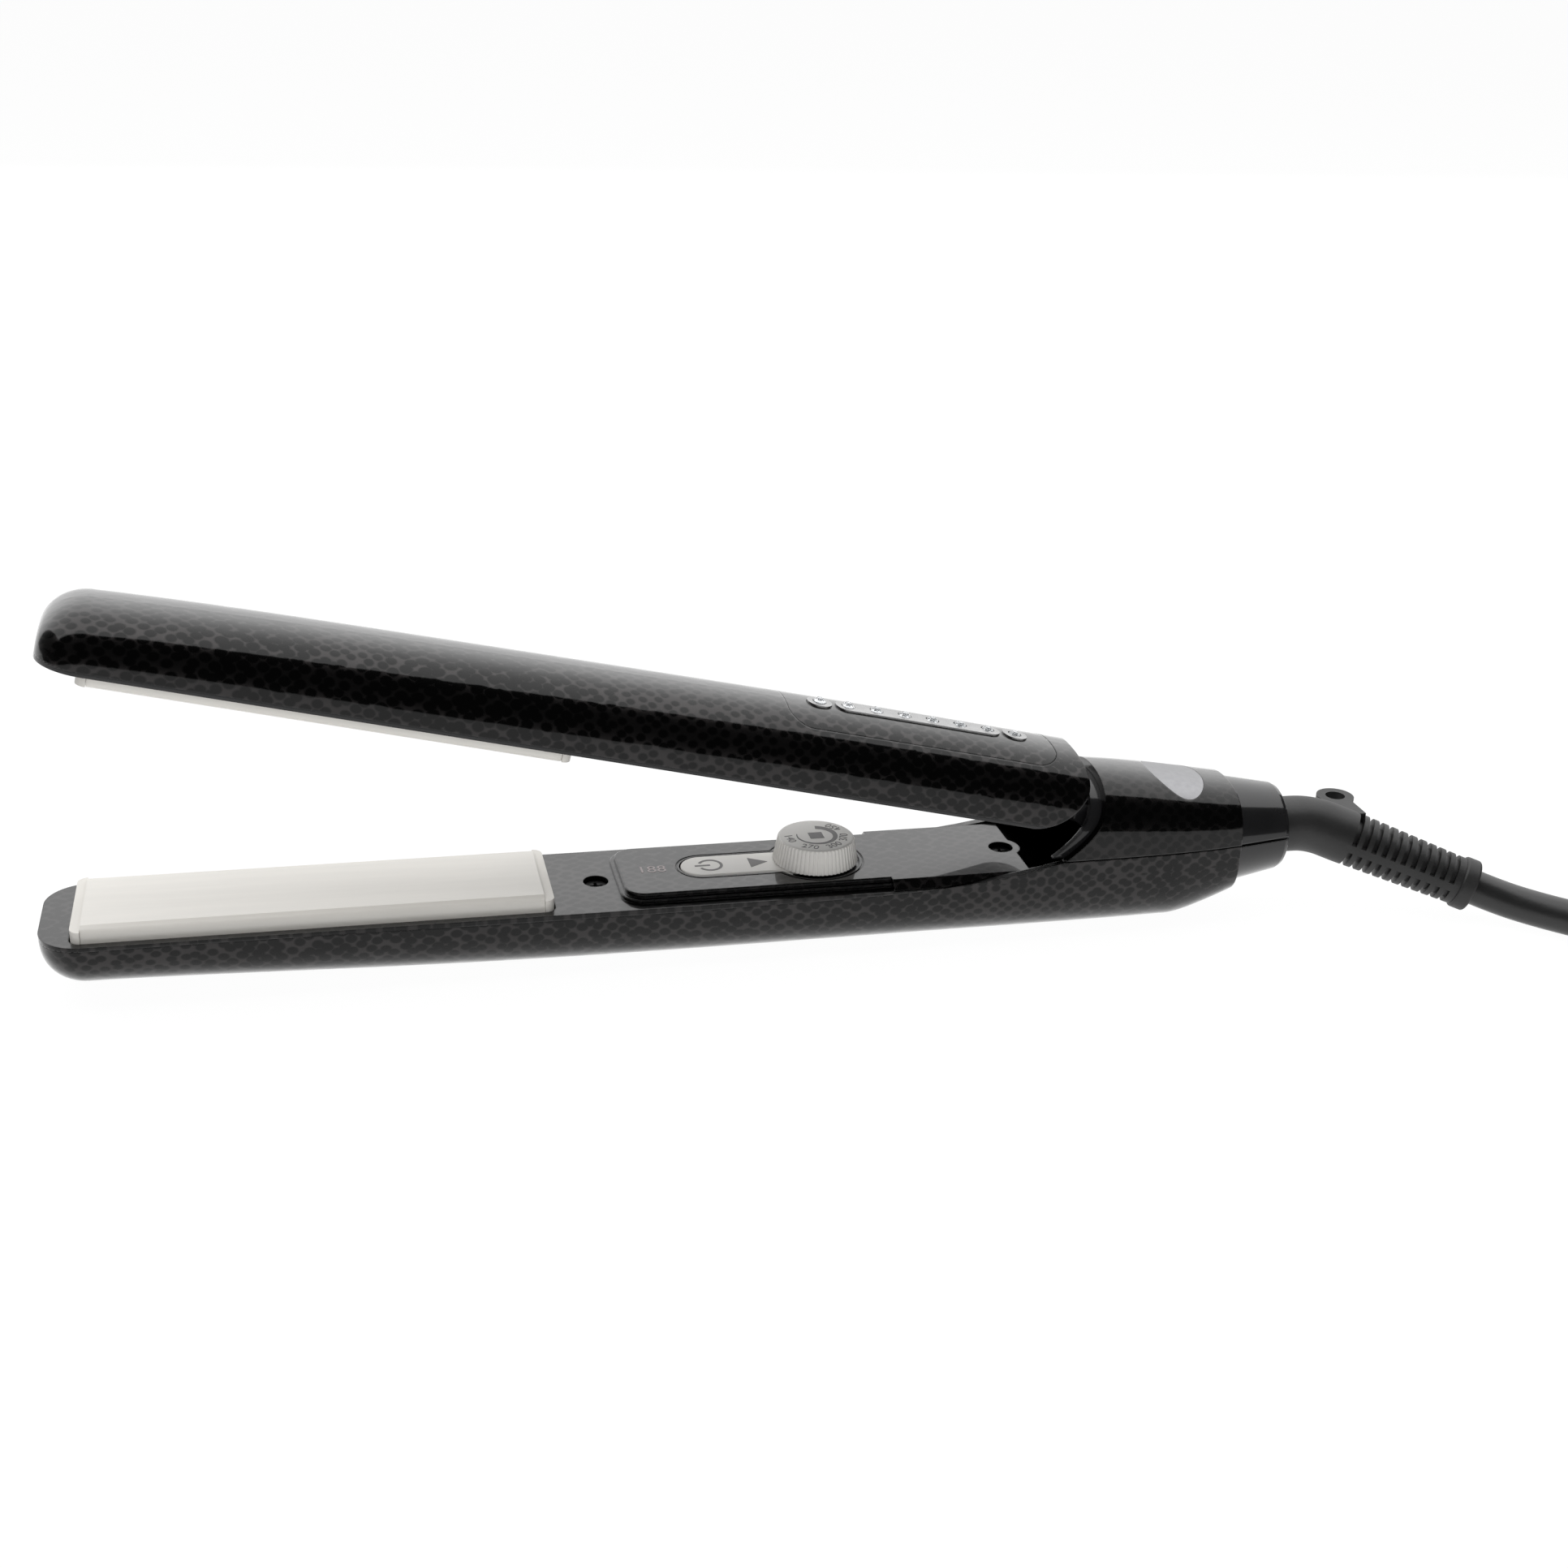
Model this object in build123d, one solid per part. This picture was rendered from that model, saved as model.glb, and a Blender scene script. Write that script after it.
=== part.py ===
from build123d import *
import math
import os

# A hair straightening iron. Both arms are drawn closed and level: the hinge axis is the Y axis, the
# plates meet at z = 0, the tips point to -X and the cord leaves towards +X. Millimetres and degrees.

# The whole iron
REST_HEIGHT = 17.4  # the hinge axis and the plates' plane, above the surface that the iron lies on
OPEN_ANGLE = 12.84  # how far the spring holds the arms apart
WALL = 1.8  # the shells' wall
FIT = 0.05  # between pieces that are clipped, pressed or screwed together
GAP = 0.3  # around pieces that move, and around the plate carriers

# The arms' outer form
LOWER_RIM_Z = -3.0  # the lower arm's rim beside its plate
UPPER_RIM_Z = 3.2
UPPER_PARTING_Z = 4.0
ROUND = 0.688  # how square the round back is: 0.552 would be an ellipse
SHORT_SIDE = 0.02  # the straight edge below the round back of a section that has no flat side
TIP_LENGTH = 9.0
TIP_NARROWS = 8.5
TIP_THINS = 7.5
# Stations along each arm, evenly spaced: x, half width, depth of the round back behind the rim.
LOWER_STATIONS = (
    (-219.4, 14.6, 11.6), (-182, 14.6, 12.8), (-144, 14.6, 14.1), (-107, 14.6, 14.6), (-69, 14.6, 14.6),
    (-32, 14.6, 14.6), (6, 14.0, 14.6))
UPPER_STATIONS = (
    (-221, 14.6, 10.9), (-186, 14.6, 12.4), (-151, 14.6, 13.2), (-116, 14.6, 13.9), (-81, 14.6, 14.5),
    (-46, 14.6, 14.8), (-12, 14.5, 14.9))

# The hinge housing at the rear of the lower arm
SEAM_Z = 1.0
REAR_END_X = 21.5
REAR_STATIONS = ((-30, 14.6, 16.6), (-12.8, 14.5, 16.6), (4.4, 14.1, 14.4), (REAR_END_X, 12.4, 11.5))
HEEL_STATIONS = (
    (6, 14.0, 14.6), (9.9, 13.7, 14.2), (13.7, 13.3, 13.0), (17.6, 12.9, 11.4), (REAR_END_X, 12.4, 9.6))
PARTING = ((-236, -4.2), (-150, -4.1), (-70, -3.9), (-45, -2.9), (-30, -1.0), (-20, SEAM_Z))
MOUTH = ((-20.0, SEAM_Z), (-14.5, 5.6), (-11.8, 9.2), (-10.6, 13.5), (-10.2, 19.0))  # the rear cover's front
LINER_REACH = 2.6  # how far the mouth liner stands in front of the rear cover
SEAM_GROOVE = 0.3  # the width of the dark line between the rear cover or collar and what is under it
BADGE_X = 8.9
BADGE_HALF = (6.2, 9.8)  # the oval badge's half length and half width

# The heated plates
PLATE_X = -175.0  # middle of the plates
PLATE_LENGTH = 90.0
PLATE_FLAT = 10.5  # half width of the flat face
PLATE_HALF = 12.2
PLATE_GAP = 0.1  # between the two faces when the iron is closed
CARRIER_LENGTH = 94.0
CARRIER_HALF = 12.5

# The row of stones on the back of the upper arm
STONES = 8
FIRST_STONE_X = -77.4
STONE_STEP = 6.32
STONE_X = [FIRST_STONE_X + STONE_STEP * n for n in range(STONES)]
STONE_RADIUS = 1.45
SETTING_HALF = 2.5

# The controls, on the lower arm
PANEL_START_X = -113.0
PANEL_END_X = -57.0
PANEL_Z = -1.2
PANEL_HALF = 11.2
PANEL_EDGE = 0.35  # the rounding of the panel's and the ledge's top edges
LEDGE_Z = -2.2
DECK_HALF = 12.2
DECK_END_X = -26.7
DIAL_X = -70.9
DIAL_FOOT = 9.1
DIAL_TOP = 8.1
DIAL_Z = (-0.85, 4.35)
DIAL_RIBS = 60
RIB_GROOVE = 0.34
KEY_START_X = -100.0
KEY_HALF = 4.6
KEY_TOP = -1.02
KEY_BOTTOM = -2.8
KEY_PIVOT_X = -77.6
KEY_PIVOT_Z = -2.0
BOARD_SCREW_X = (-88.0, -43.0)
LOWER_SCREW_X = (-118.0, -29.3)
UPPER_SCREW_X = (-118.0, -36.0)
REAR_SCREW_X = 10.5
REAR_SCREW_Y = (-7.0, 7.0)
REAR_SCREW_SEAT = -11.5
SCREW_HEAD = 2.35
SCREW_SHANK = 1.15

# The hinge
PIN_RADIUS = 2.0
PIN_HALF = 12.1
BUSH_RADIUS = 3.1
EAR_RADIUS = 5.4
EAR_Y = (5.2, 8.6)
CHEEK_Y = (9.0, 11.9)
CHEEK_RADIUS = 6.0
NECK_HALF = 7.4  # half width of the neck that joins the upper arm to its hinge ears

# The collar and the swivel
COLLAR_END_X = 34.4
COLLAR_RADIUS = 12.0
COLLAR_END_RADIUS = 9.8
COLLAR_BORE = 8.9
COLLAR_HOLE = 6.3
NECK_RADIUS = 6.2
RELIEF_BEND = (43.3, 0.0, 0.0)
RELIEF_END = (76.8, -16.0, -10.8)
RELIEF_END_RADIUS = 5.3
RELIEF_RING_RADIUS = 5.9
RELIEF_RING = 3.4
RELIEF_SLOTS = 11
RELIEF_CORE = 4.4  # the slots are cut down to here
RELIEF_SPINE = 0.9  # half the width of the plain strip between the upper and the lower slots
SLOT_SHARE = 0.5
LOOP_PLACE = (52.6, 6.4)
LOOP_Z = (0.2, 3.2)
LOOP_RADIUS = 4.2
LOOP_BORE = 2.2

# Routes of the wires inside the arms
MAINS_WIRES = ((13.4, 0, -5), (4, 0, -9.5), (-12, 1.5, -12), (-24, 6.4, -12.2), (-47, 6.6, -9.5))
LOWER_WIRES = ((-110, 5.9, -9.6), (-119, 5.9, -10.6), (-132, 5.9, -10.2), (-139.5, 5.9, -4.4))
UPPER_WIRES = (
    (-48, 4, 12.4), (-62, 5.4, 13.0), (-100, 5.9, 12.2), (-119, 5.9, 10.8), (-132, 5.9, 10.2),
    (-139.5, 5.9, 4.4))

# The cord. Its route is in the frame of the finished part, z up from the surface.
CORD_DIAMETER = 7.8
CORD_ROUTE = (
    (76.8, -16.0, 6.6), (82.2, -19.1, 4.85), (88.4, -23.9, 3.96), (95.0, -30.3, 3.93), (102.8, -37.4, 3.95),
    (112.4, -44.2, 4.1), (124.6, -49.4, 4.4), (138.0, -51.8, 4.7), (150.7, -52.3, 4.75))
HANK_START_X = 150.7  # where the hank's straight runs start
HANK_RUN = 100.0
HANK_Y = -20.5
HANK_OUTER = 31.8  # from the hank's middle line to the outer turns
HANK_INNER = 24.0
HANK_LAYERS = 4
HANK_LIFT = 0.85  # the tie's thickness lifts the hank off the surface
TIE_HALF = 5.0
TAIL_ROUTE = (
    (250.7, 3.5, 4.75), (238.2, 3.1, 4.8), (224.7, -1.0, 5.2), (212.2, -8.0, 6.2), (199.2, -12.9, 7.0),
    (186.2, -14.2, 7.4))
PLUG_LENGTH = 30.0
PLUG_WIDTH = 24.0
PLUG_HEIGHT = 14.0


def ease(turned):
    """How much of the tip's rounding is left: 1 at the very end, 0 where the arm is full."""
    return 1 - math.sin(math.radians(turned))


def tip_stations(first):
    """The rounded tip in front of an arm's first station."""
    x, half, depth = first
    found = []
    for turned in range(0, 91, 15):
        ahead = TIP_LENGTH * math.cos(math.radians(turned))
        found.append((x - ahead, half - TIP_NARROWS * ease(turned), depth - TIP_THINS * ease(turned)))
    return found


def moved_in(stations, inset):
    """The same stations with the form moved inwards by inset."""
    return [(x, half - inset, depth - inset) for x, half, depth in stations]


def d_section(half, depth, base, lip, side):
    """A D across the arm: flat at height lip, straight down to base, then round to its back."""
    back = base + side * depth
    corner = base + side * depth * ROUND
    near = Bezier((half, base), (half, corner), (half * ROUND, back), (0, back))
    far = Bezier((0, back), (-half * ROUND, back), (-half, corner), (-half, base))
    rim = Polyline((-half, base), (-half, lip), (half, lip), (half, base))
    return make_face(near.edges() + far.edges() + rim.edges())


def across(x):
    """The plane across the arm at x, its own x along Y and its own y up."""
    return Plane(origin=(x, 0, 0), x_dir=(0, 1, 0), z_dir=(1, 0, 0))


def body_of(stations, base, lip, side):
    """The solid through D sections at the stations."""
    return loft([across(x) * d_section(half, depth, base, lip, side) for x, half, depth in stations])


def slab(outline, half=20.0):
    """A side view, as (x, z) points, made into a slab across the arm."""
    return extrude(Plane.XZ * Polygon(*outline, align=None), amount=half, both=True)


def curved_slab(curve, closing, half=20.0):
    """As slab, with one edge a smooth curve and the rest straight."""
    edge = Spline(*curve)
    rest = Polyline(curve[-1], *closing, curve[0])
    return extrude(Plane.XZ * make_face(edge.edges() + rest.edges()), amount=half, both=True)


def brick(low, high):
    """A box from its lowest corner to its highest."""
    size = [b - a for a, b in zip(low, high)]
    middle = [(a + b) / 2 for a, b in zip(low, high)]
    return Pos(*middle) * Box(*size)


def post(x, y, z_low, z_high, radius):
    """A round post or hole along Z."""
    return Pos(x, y, (z_low + z_high) / 2) * Cylinder(radius, z_high - z_low)


def rod(x, z, y_low, y_high, radius):
    """A round rod or hole along Y."""
    return Pos(x, (y_low + y_high) / 2, z) * Rot(90, 0, 0) * Cylinder(radius, y_high - y_low)


def rounded_plan(x_low, x_high, half, corner, z_low, z_high):
    """A plate with rounded corners in plan."""
    plan = Pos((x_low + x_high) / 2, 0, z_low) * RectangleRounded(x_high - x_low, 2 * half, corner)
    return extrude(plan, amount=z_high - z_low)


def soft_plan(x_low, x_high, half, corner, z_low, z_high):
    """As rounded_plan, with its top edge rounded."""
    plan = rounded_plan(x_low, x_high, half, corner, z_low, z_high)
    return fillet(plan.edges().group_by(Axis.Z)[-1], PANEL_EDGE)


def ring(x_low, x_high, outer, inner):
    """A ring about the swivel axis."""
    turned = Plane.XZ * Polygon((x_low, inner), (x_low, outer), (x_high, outer), (x_high, inner), align=None)
    return revolve(turned, axis=Axis.X)


def tube(points, radius, bends):
    """A round wire or cord along straight runs joined by tangent arcs."""
    path = FilletPolyline(*points, radius=bends)
    return sweep(Plane(path @ 0, z_dir=path % 0) * Circle(radius), path=path)


def bend_radii(points, share=0.45):
    """The arc at each corner of a route: as large as its two runs allow."""
    radii = []
    for before, here, after in zip(points, points[1:], points[2:]):
        arriving = Vector(*here) - Vector(*before)
        leaving = Vector(*after) - Vector(*here)
        half_turn = math.radians(arriving.get_angle(leaving)) / 2
        radii.append(share * min(arriving.length, leaving.length) / math.tan(half_turn))
    return radii


# ---- lower arm: shell, inner cover, rear cover and collar ----


def lower_form(inset, lip):
    """The closed form of the lower arm up to lip, moved inwards by inset."""
    tip = tip_stations(LOWER_STATIONS[0])
    if inset:
        tip = [(x + inset, half, depth) for x, half, depth in tip[:-1]] + [tip[-1]]
    form = body_of(moved_in(tip, inset), LOWER_RIM_Z, lip, -1)
    form += body_of(moved_in(LOWER_STATIONS, inset), LOWER_RIM_Z, lip, -1)
    form += body_of(moved_in(HEEL_STATIONS, inset), LOWER_RIM_Z, lip, -1)
    return form & brick((-240, -20, inset - REST_HEIGHT), (40, 20, 30))


def lower_outer():
    """The closed form of the lower arm, up to the seam."""
    return lower_form(0.0, SEAM_Z)


def lower_hollow():
    """The space inside the lower arm, open at the rear."""
    rear = across(REAR_END_X - FIT) * Circle(10.4)
    return lower_form(WALL, SEAM_Z + 1) + extrude(rear, amount=1)


def below_parting():
    """Everything below the line where the patterned shell ends."""
    return curved_slab(PARTING, ((60, SEAM_Z), (60, -40), (-236, -40)))


def screw_posts(places, top, foot, radius=3.0):
    """Posts that the cover screws bite into, each with its pilot hole."""
    posts = [post(x, 0, foot, top, radius) - post(x, 0, foot + 1, top, SCREW_SHANK + FIT) for x in places]
    return Part() + posts


def lower_shell(outer, hollow):
    """The patterned lower housing, with the hinge cheeks and the screw posts."""
    shell = (outer - hollow) & below_parting()
    cheek = brick((-CHEEK_RADIUS, CHEEK_Y[0], -12), (CHEEK_RADIUS, 20, 0))
    shell += (cheek + mirror(cheek, about=Plane.XZ)) & lower_form(WALL / 2, SEAM_Z)
    for low, high in (CHEEK_Y, (-CHEEK_Y[1], -CHEEK_Y[0])):
        shell += rod(0, 0, low, high, CHEEK_RADIUS)
    shell += screw_posts(LOWER_SCREW_X, -7.2, -16.4) + screw_posts(BOARD_SCREW_X, -8.7, -16.4, 2.6)
    shell -= rod(0, 0, -PIN_HALF, PIN_HALF, PIN_RADIUS + 0.01)
    for y in REAR_SCREW_Y:
        shell += post(REAR_SCREW_X, y, -17, -6, 3.3) & outer
        shell -= post(REAR_SCREW_X, y, -20, -5, SCREW_SHANK + 0.2)
        shell -= post(REAR_SCREW_X, y, -20, REAR_SCREW_SEAT, SCREW_HEAD + 0.2)
    return shell


def carrier_hole(z_low, z_high):
    """The opening that a plate carrier sits in."""
    half_length = CARRIER_LENGTH / 2 + GAP
    return rounded_plan(PLATE_X - half_length, PLATE_X + half_length, CARRIER_HALF + GAP, 2.2, z_low, z_high)


def key_plan(grow, z_low, z_high):
    """The key's outline: a strip with a round front end, running back under the dial."""
    half = KEY_HALF + grow
    strip = brick((KEY_START_X + KEY_HALF, -half, z_low), (KEY_PIVOT_X + 2.2 + grow, half, z_high))
    return strip + post(KEY_START_X + KEY_HALF, 0, z_low, z_high, half)


def lower_inner_cover(outer, hollow):
    """The black gloss deck: rim around the plate, raised panel, hinge floor."""
    rim = outer & slab(((-236, -10), (-236, LOWER_RIM_Z), (DECK_END_X, LOWER_RIM_Z), (DECK_END_X, -10)))
    rim -= brick((-240, -20, -11), (-20, 20, -6.2)) + brick((-127, -11.2, -12), (-28, 11.2, -4.6))
    panel = soft_plan(PANEL_START_X, PANEL_END_X + 12, PANEL_HALF, 4.0, LOWER_RIM_Z - 0.5, PANEL_Z)
    ledge = soft_plan(PANEL_START_X - 0.9, PANEL_END_X + 8, DECK_HALF, 4.6, LOWER_RIM_Z - 0.5, LEDGE_Z)
    deck_face = across(PANEL_END_X) * Polygon(
        (-DECK_HALF, PANEL_Z), (-14.4, -3.3), (14.4, -3.3), (DECK_HALF, PANEL_Z), align=None)
    deck = extrude(deck_face, amount=DECK_END_X - PANEL_END_X)
    under = rounded_plan(PANEL_START_X + 2, DECK_END_X - 2, 9.2, 3.0, -7, PANEL_Z - 1.7)
    floor = slab(((DECK_END_X - 2, PANEL_Z), (DECK_END_X, PANEL_Z), (-17, -7.2), (-8.5, -7.2), (-8.5, -8.8),
                  (-17.8, -8.8), (DECK_END_X - 2, -2.4)), 12.6)
    keep = (outer - below_parting()) + (hollow & brick((-240, -12.7, -9), (-6, 12.7, 2)))
    cover = (rim + panel + ledge + deck - under + floor) & keep
    for x, top in zip(LOWER_SCREW_X, (LOWER_RIM_Z, PANEL_Z)):
        cover += post(x, 0, -7.1, top, 4.2)
        cover -= post(x, 0, top - 2.4, top + 1, SCREW_HEAD + 0.3)
        cover -= post(x, 0, -8, top, SCREW_SHANK + 0.15)
    cover -= carrier_hole(-10, 2)
    cover -= key_plan(GAP, -8, 2)
    cover -= post(DIAL_X, 0, PANEL_Z - 0.7, 2, DIAL_FOOT + 0.4) + post(DIAL_X, 0, -8, 2, 3.5)
    surround = key_plan(1.1, PANEL_Z - 0.3, 2) + post(DIAL_X, 0, PANEL_Z - 0.3, 2, DIAL_FOOT + 1.35)
    surround -= key_plan(0.75, -4, 2) + post(DIAL_X, 0, -4, 2, DIAL_FOOT + 0.95)
    cover -= surround
    cover -= rod(KEY_PIVOT_X, KEY_PIVOT_Z, -KEY_HALF - 1.4, KEY_HALF + 1.4, 0.75)
    return cover


def mouth_slab(reach, back):
    """Everything behind the slanting front edge of the rear cover, moved forward by reach."""
    front = [(x - reach, z) for x, z in MOUTH]
    return curved_slab(front, ((back, 19.0), (back, SEAM_Z)))


def rear_body(inset, end_x=REAR_END_X):
    """The closed form of the rear cover, moved inwards by inset."""
    stations = REAR_STATIONS[:-1] + ((end_x, REAR_STATIONS[-1][1], REAR_STATIONS[-1][2]),)
    return body_of(moved_in(stations, inset), SEAM_Z + SHORT_SIDE, SEAM_Z, 1)


def rear_covers():
    """The rear cover, its badge, and the black liner of its mouth."""
    outer = rear_body(0)
    cover = (outer - rear_body(WALL, REAR_END_X + 1)) & mouth_slab(0, 60)
    for y in REAR_SCREW_Y:
        pillar = post(REAR_SCREW_X, y, SEAM_Z + FIT, 14, 2.6) & rear_body(WALL / 2)
        cover += pillar - post(REAR_SCREW_X, y, 0, 7, SCREW_SHANK + FIT)
    seam = brick((-40, -20, 0), (REAR_END_X + 1, 20, SEAM_Z + SEAM_GROOVE))
    cover -= seam - rear_body(0.6)
    length, width = BADGE_HALF
    oval = extrude(Pos(BADGE_X, 0, 5) * Ellipse(length, width), amount=15)
    oval_pocket = extrude(Pos(BADGE_X, 0, 5) * Ellipse(length + FIT, width + FIT), amount=15)
    badge = (rear_body(0.02) - rear_body(0.6)) & oval
    cover -= oval_pocket - rear_body(0.65)
    liner = (rear_body(WALL + FIT) - rear_body(WALL + 1.3)) & mouth_slab(LINER_REACH, 0)
    liner = liner & brick((-40, -20, SEAM_Z + 0.4), (-7.3, 20, 30))
    return cover, badge, liner


def collar():
    """The ring at the rear that holds the swivel, as one solid before it is split at the seam."""
    edge = 1.2
    profile = Polygon(
        (16.5, COLLAR_BORE), (16.5, 10.2), (REAR_END_X + FIT, 10.2), (REAR_END_X + FIT, COLLAR_RADIUS),
        (COLLAR_END_X - edge, COLLAR_END_RADIUS), (COLLAR_END_X - 0.35, COLLAR_END_RADIUS - 0.4),
        (COLLAR_END_X, COLLAR_END_RADIUS - edge), (COLLAR_END_X, COLLAR_HOLE), (31.4, COLLAR_HOLE),
        (31.4, COLLAR_BORE), align=None)
    return revolve(Plane.XZ * profile, axis=Axis.X)


def collar_halves():
    """The upper and the lower half of the collar."""
    whole = collar()
    groove = brick((REAR_END_X, -30, SEAM_Z - SEAM_GROOVE), (60, 30, SEAM_Z + SEAM_GROOVE))
    whole -= groove - brick((0, -9.3, -30), (60, 9.3, 30))
    top = whole & brick((0, -30, SEAM_Z + FIT / 2), (60, 30, 30))
    bottom = whole & brick((0, -30, -30), (60, 30, SEAM_Z - FIT / 2))
    return top, bottom


# ---- the heated plates, alike in both arms: drawn for the lower one, faces up ----


def plate():
    """Extruded aluminium plate: flat face, rounded long edges, rails that hold the heater."""
    top = -PLATE_GAP / 2
    start = across(PLATE_X - PLATE_LENGTH / 2)
    edge = Line((PLATE_FLAT, top), (PLATE_FLAT + 0.9, top - 0.45))
    side = Bezier(
        (PLATE_FLAT + 0.9, top - 0.45), (PLATE_HALF, top - 0.9), (PLATE_HALF, top - 2.0), (PLATE_HALF, -3.4))
    rail = Polyline((PLATE_HALF, -3.4), (9.0, -3.4), (9.0, -6.4), (7.6, -6.4), (7.6, -2.6), (0, -2.6))
    half = edge.edges() + side.edges() + rail.edges()
    middle = Line((0, -2.6), (0, top))
    cap = Line((0, top), (PLATE_FLAT, top))
    face = make_face(half + middle.edges() + cap.edges())
    right = extrude(start * face, amount=PLATE_LENGTH)
    return right + mirror(right, about=Plane.XZ)


def plate_carrier():
    """Off-white heat-proof frame: its end caps close both ends of the plate."""
    half_length = CARRIER_LENGTH / 2
    start, stop = PLATE_X - half_length, PLATE_X + half_length
    block = rounded_plan(start, stop, CARRIER_HALF, 2.0, -4.6, -0.7)
    block += rounded_plan(start + 1, stop - 1, CARRIER_HALF - 1.9, 2.0, -8.6, -4.5)
    inner = brick((PLATE_X - PLATE_LENGTH / 2 - FIT, -20, -3.45), (PLATE_X + PLATE_LENGTH / 2 + FIT, 20, 0))
    rails = brick((start + 1.9, -9.1, -9), (stop - 1.9, 9.1, 0))
    return block - inner - rails


def heater():
    """Flat ceramic heater under the plate, between its rails."""
    return brick((PLATE_X - 35, -7.0, -5.3), (PLATE_X + 35, 7.0, -2.65))


def heater_clip():
    """Bowed steel spring that presses the heater to the plate."""
    span = 33.0
    bow = Spline((PLATE_X - span, -7.6), (PLATE_X, -5.75), (PLATE_X + span, -7.6))
    under = Spline((PLATE_X - span, -8.1), (PLATE_X, -6.25), (PLATE_X + span, -8.1))
    ends = Line(bow @ 0, under @ 0).edges() + Line(bow @ 1, under @ 1).edges()
    return extrude(Plane.XZ * make_face(bow.edges() + under.edges() + ends), amount=5, both=True)


def sensor(x):
    """A small glass-bodied sensor lying beside the heater."""
    return Pos(x, 0, -3.9) * Rot(90, 0, 0) * Cylinder(1.2, 7.0)


def face_down(piece):
    """The same piece in the upper arm."""
    return mirror(piece, about=Plane.XY)


# ---- upper arm ----


def upper_outer(inset=0.0):
    """The closed form of the upper arm, moved inwards by inset."""
    tip = tip_stations(UPPER_STATIONS[0])
    if inset > 0:
        tip = [(x + inset, half, depth) for x, half, depth in tip[:-1]] + [tip[-1]]
    base = UPPER_RIM_Z + SHORT_SIDE
    return body_of(moved_in(tip, inset), base, UPPER_RIM_Z, 1) + body_of(
        moved_in(UPPER_STATIONS, inset), base, UPPER_RIM_Z, 1)


def rear_round(inset=0.0):
    """The rounded rear end of the upper arm, in side view."""
    curve = ((-29.0, UPPER_RIM_Z), (-24.0, 4.9), (-20.2, 8.4), (-18.2, 13.4), (-20.0, 18.0), (-23.5, 21.0))
    moved = [(x - inset, z) for x, z in curve]
    return curved_slab(moved, ((-240, 21.0), (-240, UPPER_RIM_Z)))


def trim_plan(grow, z_low=8.0, z_high=25.0):
    """The trim panel's outline in plan: round in front."""
    return rounded_plan(-85.0 - grow, -25.0 + grow, 9.6 + grow, 5.0 + grow, z_low, z_high)


def setting_plan(grow, z_low, z_high):
    """Three settings in a row: one stone, six stones, one stone."""
    plans = []
    for first, last in ((0, 0), (1, 6), (7, 7)):
        reach = SETTING_HALF + grow
        x_low, x_high = STONE_X[first] - reach - 0.2, STONE_X[last] + reach + 0.2
        plans.append(rounded_plan(x_low, x_high, reach, reach - 0.1, z_low, z_high))
    return plans


def upper_shell():
    """The patterned upper housing."""
    outer = upper_outer() & rear_round()
    hollow = upper_outer(WALL) & rear_round(WALL + 0.6)
    shell = outer - hollow - brick((-240, -20, 0), (0, 20, UPPER_PARTING_Z + 0.02))
    shell -= trim_plan(0.12) - upper_outer(1.15)
    shell -= brick((-40, -NECK_HALF - GAP, 3), (-10, NECK_HALF + GAP, 10.9))
    posts = [post(x, 0, 7.4, 16.6, 3.0) - post(x, 0, 7, 14.4, SCREW_SHANK + FIT) for x in UPPER_SCREW_X]
    return shell + posts


def trim_panel():
    """The insert on the back of the upper arm, with slots for the stone settings."""
    panel = (upper_outer(0.02) - upper_outer(1.1)) & trim_plan(0.0)
    for plan in setting_plan(FIT, 8, 25):
        panel -= plan
    return panel


def stone_setting():
    """Bright metal settings, slightly proud of the trim, with a cup for each stone."""
    strip = upper_outer(-0.35) - upper_outer(1.05)
    pieces = [strip & plan for plan in setting_plan(0.0, 8, 25)]
    setting = Part() + pieces
    for x in STONE_X:
        setting -= Pos(x, 0, 18.6) * Cylinder(STONE_RADIUS + 0.03, 2.0)
    return setting


def rhinestones():
    """Eight cut glass stones: a flat table, sloping facets and a short girdle."""
    stones = []
    for x in STONE_X:
        girdle = extrude(Pos(x, 0, 17.65) * RegularPolygon(STONE_RADIUS, 8), amount=0.55)
        crown = extrude(Pos(x, 0, 18.2) * RegularPolygon(STONE_RADIUS, 8), amount=0.75, taper=42)
        stones.append(girdle + crown)
    return Part() + stones


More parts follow.
